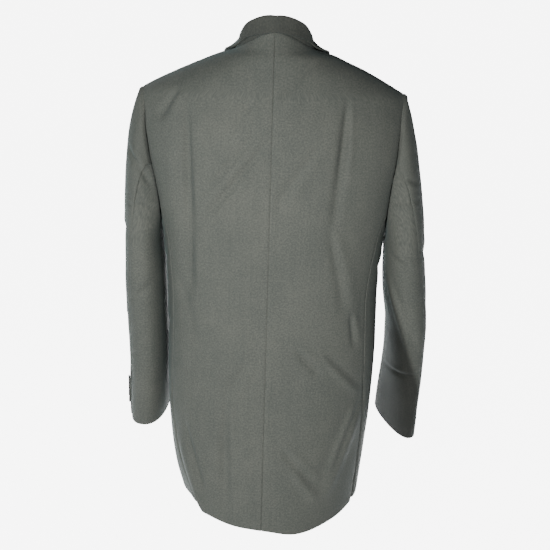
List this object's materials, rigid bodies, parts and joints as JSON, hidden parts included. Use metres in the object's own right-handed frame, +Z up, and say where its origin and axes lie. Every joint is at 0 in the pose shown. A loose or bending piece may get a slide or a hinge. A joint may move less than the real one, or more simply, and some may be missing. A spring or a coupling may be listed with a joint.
{
  "type": "single-breasted blazer",
  "caption": "Hollow worn-shape blazer with notch lapels, turned-down collar, side vents and buttoned front, open at neck, hem and cuffs.",
  "frame": {"origin": "middle of the neck base at the height of the back neck seam, where the wearer's neck and shoulders hold the blazer", "axes": "+Z up along the wearer, -Y out of the front, +X to the wearer's left"},
  "size_m": [0.5405, 0.2887, 0.8932],
  "materials": {
    "wool_cloth": "matt worsted wool",
    "button": "satin"
  },
  "bodies": {
    "root": {"back_left": "wool_cloth", "side_left": "wool_cloth", "front_left": "wool_cloth", "lapel_left": "wool_cloth", "top_sleeve_left": "wool_cloth", "under_sleeve_left": "wool_cloth", "back_right": "wool_cloth", "side_right": "wool_cloth", "front_right": "wool_cloth", "lapel_right": "wool_cloth", "top_sleeve_right": "wool_cloth", "under_sleeve_right": "wool_cloth", "collar": "wool_cloth", "front_button_1": "button", "front_button_2": "button", "cuff_button_left_1": "button", "cuff_button_left_2": "button", "cuff_button_left_3": "button", "cuff_button_left_4": "button", "cuff_button_right_1": "button", "cuff_button_right_2": "button", "cuff_button_right_3": "button", "cuff_button_right_4": "button"}
  },
  "joints": []
}
